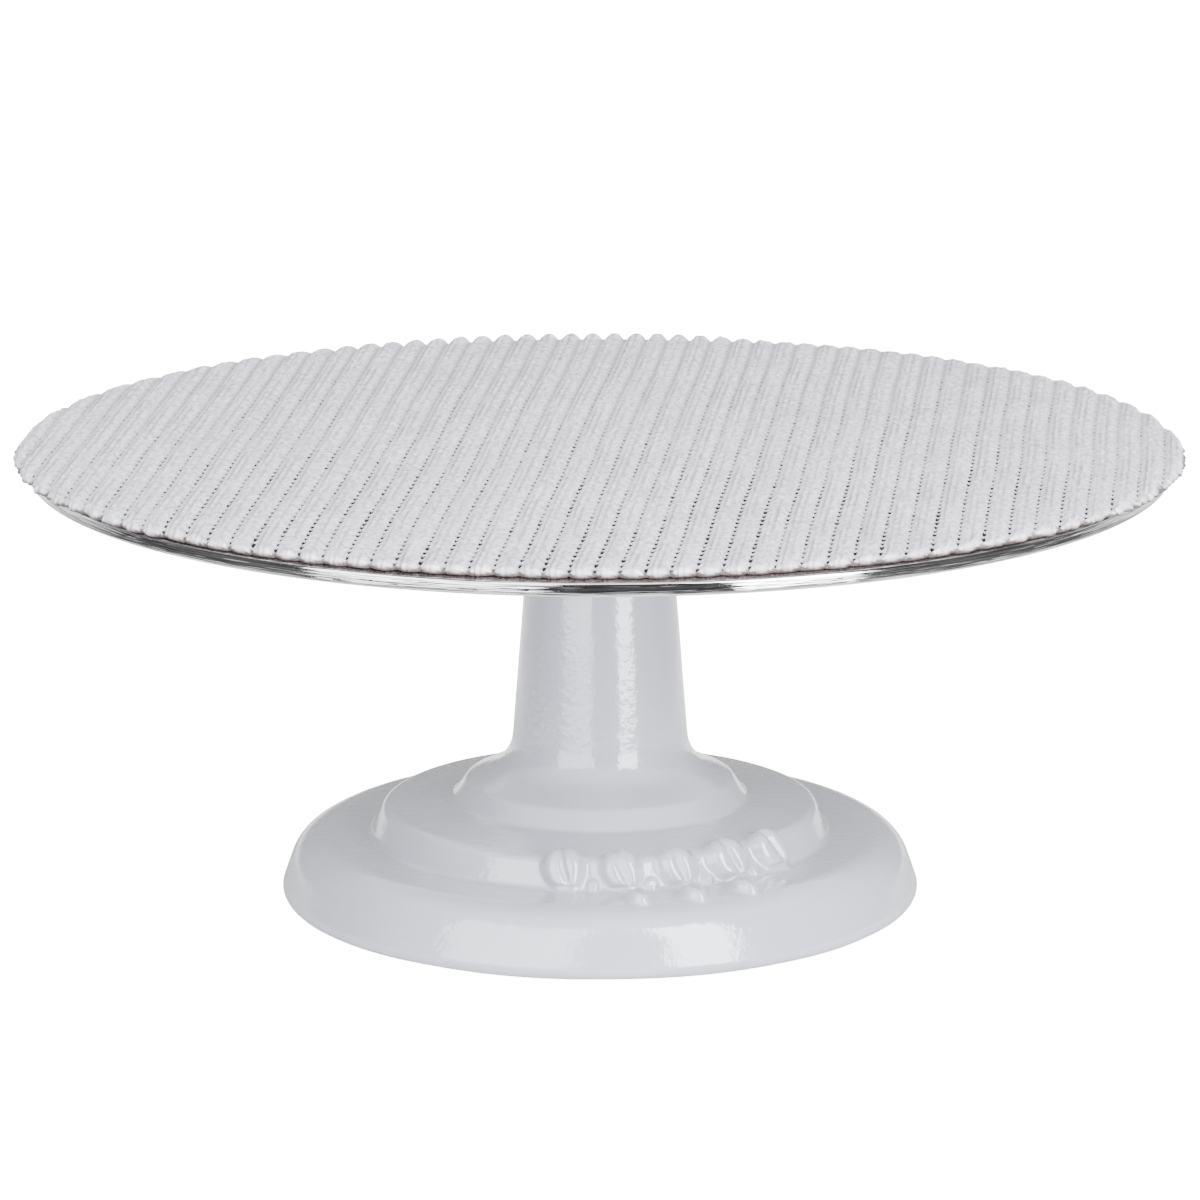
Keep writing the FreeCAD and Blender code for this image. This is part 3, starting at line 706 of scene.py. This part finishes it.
def pad_edge_r(angles):
    """Cut edge: an oval whose foam bulges between the rows and between the holes."""
    oval = PAD_LONG_R - PAD_OVAL + PAD_OVAL * np.cos(2 * angles)
    oval -= PAD_BACK_CUT * np.clip(np.sin(angles), 0, 1) ** 2
    x, y = oval * np.cos(angles), oval * np.sin(angles)
    across, along = pad_pattern(x, y)
    crossing = np.abs(np.sin(angles + PAD_LEAN))
    between_rows = np.abs(np.sin(math.pi * across / ROW_PITCH)) ** 0.55
    between_holes = np.abs(np.sin(math.pi * along / HOLE_PITCH)) ** 0.7
    edge = np.column_stack([x, y, np.zeros_like(x)])
    ragged = 0.8 * noise_field(edge, 5.5, 4.0) + 0.45 * noise_field(edge, 2.2, 5.0)
    lobes = 1.7 * crossing * (between_rows - 0.85) + 1.2 * (1 - crossing) * (between_holes - 0.75)
    return oval - 0.1 + lobes * edge_relief(x, y) + ragged


def pad_columns():
    """Places of the mesh's columns in one pitch of rows, and of its points in one pitch of holes."""
    return (0.0, 0.5, 1.1, 1.7, 2.4, 3.125, 4.3, 5.75), (0.0, 0.9, 2.2, 3.5)


def pad_points(random):
    """The top's inner points: place across, holes passed along, place along, and how open the hole is."""
    columns, stops = pad_columns()
    reach = int(PAD_LONG_R / ROW_PITCH) + 2
    stretch = int(PAD_LONG_R / HOLE_PITCH) + 2
    holes = np.arange(-stretch, stretch + 1)
    phases = random.uniform(0, HOLE_PITCH, 2 * reach + 2)
    opened = [hole_openness(random, len(holes) + 1) for _ in phases]
    made = []
    for row in range(-reach, reach + 1):
        for column in columns:
            owner = row + reach + (1 if column > ROW_PITCH - 1 else 0)
            for number, stop in enumerate(stops):
                beat = holes + stop / HOLE_PITCH
                nearest = number // (len(stops) - 1)
                openness = opened[owner][nearest:nearest + len(holes)]
                made.append(np.column_stack([np.full(len(holes), row * ROW_PITCH + column), beat,
                                             beat * HOLE_PITCH + phases[owner], openness]))
    return np.concatenate(made)


def hole_openness(random, count):
    """How open each hole of a row is: mostly well open, in runs, with some nearly closed."""
    knots = np.arange(0, count + 6, 6)
    runs = np.interp(np.arange(count), knots, random.uniform(0.35, 1.0, len(knots)))
    return np.clip(runs * random.uniform(0.5, 1.25, count), 0.0, 1.0)


def pad_height(across, beat, openness, inside, relief):
    """Height of the foam: ribs between the rows of holes, pinched near the edge, with faint middle seams."""
    place = across % ROW_PITCH
    to_row = np.minimum(place, ROW_PITCH - place)
    to_middle = np.abs(place - ROW_PITCH / 2)
    pinch = relief * np.clip(1 - inside / 9.0, 0, 1) ** 1.5
    groove = np.exp(-(to_row / (0.8 + 0.6 * pinch)) ** 2)
    seam = np.exp(-(to_middle / 0.45) ** 2)
    height = CROWN - (0.5 + 1.1 * pinch) * groove - 0.16 * seam
    off_hole = (beat - np.round(beat)) * HOLE_PITCH
    pit = np.exp(-(to_row / 0.45) ** 2 - (off_hole / 1.0) ** 2) * (0.35 + 0.65 * openness)
    return height - 0.9 * pit


def pad_ring(angles, inset, height):
    """A ring of points inset from the cut edge."""
    radius = pad_edge_r(angles) - inset
    level = np.full(len(angles), 1.0) * height
    return np.column_stack([radius * np.cos(angles), radius * np.sin(angles), level])


def pad_sag(points):
    """The overhang bends down past the plate's rim; the ribs' ends curl up, most of all at the back."""
    x, y = points[:, 0], points[:, 1]
    radius = np.hypot(x, y)
    angles = np.arctan2(y, x)
    past = np.clip(radius - PLATE_R + 0.5, 0, None)
    edge = np.clip((radius - pad_edge_r(angles) + 7) / 7, 0, 1) ** 2
    across, _ = pad_pattern(x, y)
    rib = np.abs(np.sin(math.pi * across / ROW_PITCH))
    curl = noise_field(np.column_stack([x, y, 0 * radius]), 24.0, 6.0)
    behind = np.clip(np.sin(angles) * 1.6, 0, 1)
    lift = 0.35 * np.clip(curl, 0, 1) + 1.15 * behind * rib * edge_relief(x, y) ** 2
    return -0.16 * past ** 1.3 + lift * edge


def make_pad(materials):
    """Perforated foam pad, cut to an oval, lying on the plate."""
    random = np.random.default_rng(SEED)
    table = pad_points(random)
    x = table[:, 0] * math.cos(PAD_LEAN) + table[:, 2] * math.sin(PAD_LEAN)
    y = -table[:, 0] * math.sin(PAD_LEAN) + table[:, 2] * math.cos(PAD_LEAN)
    angle = np.arctan2(y, x)
    edge_angles = np.arange(PAD_EDGE_COUNT) * 2 * math.pi / PAD_EDGE_COUNT - math.pi
    limit = np.interp(angle, edge_angles, pad_edge_r(edge_angles), period=2 * math.pi)
    kept = np.hypot(x, y) < limit - 1.0
    table, x, y = table[kept], x[kept], y[kept]
    across, beat, along, openness = table.T
    openness = openness * np.interp(y, (-120.0, -40.0, 50.0, 130.0), (1.7, 1.2, 0.6, 0.15))
    openness *= np.interp(np.abs(x), (90.0, 148.0), (1.0, 0.5))
    inside = limit[kept] - np.hypot(x, y)
    height = pad_height(across, beat, openness, inside, edge_relief(x, y))
    flat = np.column_stack([x, y, np.zeros_like(x)])
    height += 0.10 * noise_field(flat, 2.6, 7.0) + 0.10 * noise_field(flat, 9.0, 8.0)
    x += 0.55 * noise_field(flat, 55.0, 9.0) + 0.08 * noise_field(flat, 3.0, 10.0)
    y += 0.4 * noise_field(flat, 55.0, 11.0)
    inner = np.column_stack([x, y, height])
    ring_x, ring_y = pad_ring(edge_angles, 0, 0)[:, :2].T
    ring_across, ring_along = pad_pattern(ring_x, ring_y)
    thick = np.abs(np.sin(math.pi * ring_across / ROW_PITCH)) ** 0.6
    thick = 1 - edge_relief(ring_x, ring_y) * (1 - thick)
    rings = (
        pad_ring(edge_angles, 0.60, 0.95 + 1.45 * thick),
        pad_ring(edge_angles, 0.12, 0.80 + 1.05 * thick),
        pad_ring(edge_angles, 0.05, 0.60 + 0.55 * thick),
        pad_ring(edge_angles, 0.30, 0.35 + 0.20 * thick),
        pad_ring(edge_angles, 1.0, PAD_REST + 0.05),
    )
    lattice = np.arange(-PAD_UNDER_REACH, PAD_UNDER_REACH + 1, PAD_UNDER_STEP)
    under_x, under_y = (a.ravel() for a in np.meshgrid(lattice, lattice))
    under_angle = np.arctan2(under_y, under_x)
    under_limit = np.interp(under_angle, edge_angles, pad_edge_r(edge_angles), period=2 * math.pi)
    under_kept = np.hypot(under_x, under_y) < under_limit - 4
    under = np.column_stack([under_x, under_y, np.full(len(under_x), PAD_REST)])[under_kept]
    points = np.concatenate([inner, *rings, under])
    points[:, 2] = np.minimum(points[:, 2], PAD_HIGH.z - PAD_LOW.z - 0.02)
    points[:, 2] += pad_sag(points) + PAD_LOW.z
    first_ring = len(inner)
    faces = grid_faces(len(rings), PAD_EDGE_COUNT, first_ring)
    top_ring = list(range(first_ring, first_ring + PAD_EDGE_COUNT))
    last_ring = [i + PAD_EDGE_COUNT * (len(rings) - 1) for i in top_ring]
    faces += cover(points, top_ring, range(len(inner)))
    faces += cover(points, last_ring, range(len(points) - len(under), len(points)))
    piece = build_piece("foam_pad", points, faces, "pad",
                        materials["pad_fabric"], ["non_slip_pad"])
    ring_points = PAD_EDGE_COUNT * len(rings)
    spare = np.zeros(len(points) - len(inner) - ring_points)
    around = [np.tile(values, len(rings)) for values in (ring_across, ring_along / HOLE_PITCH)]
    add_attribute(piece, "across", np.concatenate([across, around[0], spare]))
    add_attribute(piece, "beat", np.concatenate([beat, around[1], spare]))
    add_attribute(piece, "open", np.concatenate([openness, np.zeros(ring_points), spare]))
    pale = np.repeat((1.0, 1.0, 0.6, 0.0, 0.0), PAD_EDGE_COUNT)
    add_attribute(piece, "edge", np.concatenate([np.clip(1 - inside / 3.0, 0, 1), pale, spare]))
    dark = np.concatenate([1.25 + 1.1 * (1 - thick) ** 2 - ring[:, 2] for ring in rings])
    dark = np.clip(dark / 0.25, 0, 1)
    add_attribute(piece, "under", np.concatenate([np.zeros(len(inner)), dark, spare + 1]))


def cover(points, ring, inner):
    """Triangles between a closed ring and the points inside it."""
    members = list(ring) + list(inner)
    plan = [Vector(p) for p in points[members][:, :2].tolist()]
    edges = [(i, (i + 1) % len(ring)) for i in range(len(ring))]
    _, _, triangles, _, _, _ = geometry.delaunay_2d_cdt(plan, edges, [], 1, 1e-6)
    return [[members[i] for i in triangle] for triangle in triangles]


# ================================ frame's own nodes ================================
def finish_nodes(materials):
    """Gives every node of the frame its material."""
    slots = {part["node"]: part["material_slot"] for part in frame["record"]["subparts"]}
    for name, node in frame["nodes"].items():
        node.data.materials.clear()
        node.data.materials.append(materials[slots[name]])


# ================================ studio ================================
def floor_material():
    """Plain white floor, bright enough to the camera to melt into the background."""
    s = Shader("studio_floor")
    ray = s.node("LightPath").outputs["Is Camera Ray"]
    behind = s.range(s.split()["Y"], 0.1, 0.5, 0.0, 2.5)
    strength = s.math("ADD", behind, s.math("MULTIPLY", ray, FLOOR_GLOW))
    far = s.range(s.radius(), 0.30, 0.44)
    diffuse = s.node("BsdfDiffuse", {"Color": s.mix(far, grey(0.75), grey(0.07))}).outputs["BSDF"]
    glow = s.node("Emission", {"Color": grey(1.0), "Strength": strength}).outputs["Emission"]
    both = s.node("AddShader", {0: diffuse, 1: glow}).outputs[0]
    s.node("OutputMaterial", {"Surface": both})
    return s.material


def make_floor():
    mesh = bpy.data.meshes.new("studio_floor")
    corners = [(-3, FLOOR_FRONT, 0), (3, FLOOR_FRONT, 0), (3, 4, 0), (-3, 4, 0)]
    mesh.from_pydata(corners, [], [(0, 1, 2, 3)])
    mesh.materials.append(floor_material())
    floor = bpy.data.objects.new("studio_floor", mesh)
    bpy.context.scene.collection.objects.link(floor)


def make_world():
    """White to the camera, and to the object a backdrop that is bright behind it and dim in front."""
    world = bpy.data.worlds.new("studio")
    bpy.context.scene.world = world
    world.use_nodes = True
    tree = world.node_tree
    tree.nodes.clear()

    def node(kind, **settings):
        made = tree.nodes.new("ShaderNode" + kind)
        for key, value in settings.items():
            setattr(made, key, value)
        return made

    def ramp(value, low, high, to_low, to_high):
        made = node("MapRange", interpolation_type="SMOOTHSTEP")
        limits = {"From Min": low, "From Max": high, "To Min": to_low, "To Max": to_high}
        for key, limit in limits.items():
            made.inputs[key].default_value = limit
        tree.links.new(value, made.inputs["Value"])
        return made.outputs["Result"]

    split = node("SeparateXYZ")
    tree.links.new(node("TexCoord").outputs["Generated"], split.inputs[0])
    sideways = node("Math", operation="ABSOLUTE")
    tree.links.new(split.outputs["X"], sideways.inputs[0])
    surroundings = node("Math", operation="ADD")
    tree.links.new(ramp(split.outputs["Y"], -0.15, 0.75, 0.0, 0.75), surroundings.inputs[0])
    tree.links.new(ramp(sideways.outputs[0], 0.45, 0.9, 0.12, 0.15), surroundings.inputs[1])
    ray = node("LightPath")
    strength = node("Mix", data_type="FLOAT")
    tree.links.new(ray.outputs["Is Camera Ray"], strength.inputs["Factor"])
    tree.links.new(surroundings.outputs[0], strength.inputs["A"])
    strength.inputs["B"].default_value = BACKDROP_GLOW
    background = node("Background")
    tree.links.new(strength.outputs["Result"], background.inputs["Strength"])
    tree.links.new(background.outputs[0], node("OutputWorld").inputs["Surface"])


def softbox(name, azimuth, elevation, width, height, radiance):
    """A rectangular light aimed at the column. Azimuth runs from the camera's side towards +X."""
    data = bpy.data.lights.new(name, "AREA")
    data.shape = "RECTANGLE"
    data.size = width
    data.size_y = height
    data.energy = radiance * math.pi * width * height
    lamp = bpy.data.objects.new(name, data)
    turn, rise = math.radians(azimuth), math.radians(elevation)
    aim = Vector((0, 0, 0.07))
    towards = Vector((math.sin(turn) * math.cos(rise), -math.cos(turn) * math.cos(rise), math.sin(rise)))
    lamp.location = aim + LIGHT_DISTANCE * towards
    lamp.rotation_euler = (lamp.location - aim).to_track_quat("Z", "Y").to_euler()
    lamp.visible_camera = False
    bpy.context.scene.collection.objects.link(lamp)


def make_lights():
    softbox("left_softbox", -33.3, 23, 1.33, 2.0, 7.1)
    softbox("right_softbox", 37.2, 23, 0.68, 2.0, 21.0)
    softbox("top_softbox", 0, 84, 0.5, 1.6, 4.0)


def make_camera():
    data = bpy.data.cameras.new("camera")
    data.sensor_width = 36.0
    data.lens = CAMERA_LENS
    data.clip_end = 50.0
    camera = bpy.data.objects.new("camera", data)
    camera.location = CAMERA_PLACE
    camera.rotation_euler = Euler((math.radians(90 - CAMERA_DIP), 0, 0))
    bpy.context.scene.collection.objects.link(camera)
    bpy.context.scene.camera = camera


materials = make_materials()
finish_nodes(materials)
make_casting(materials)
make_plate(materials)
make_pad(materials)
make_floor()
make_world()
make_lights()
make_camera()
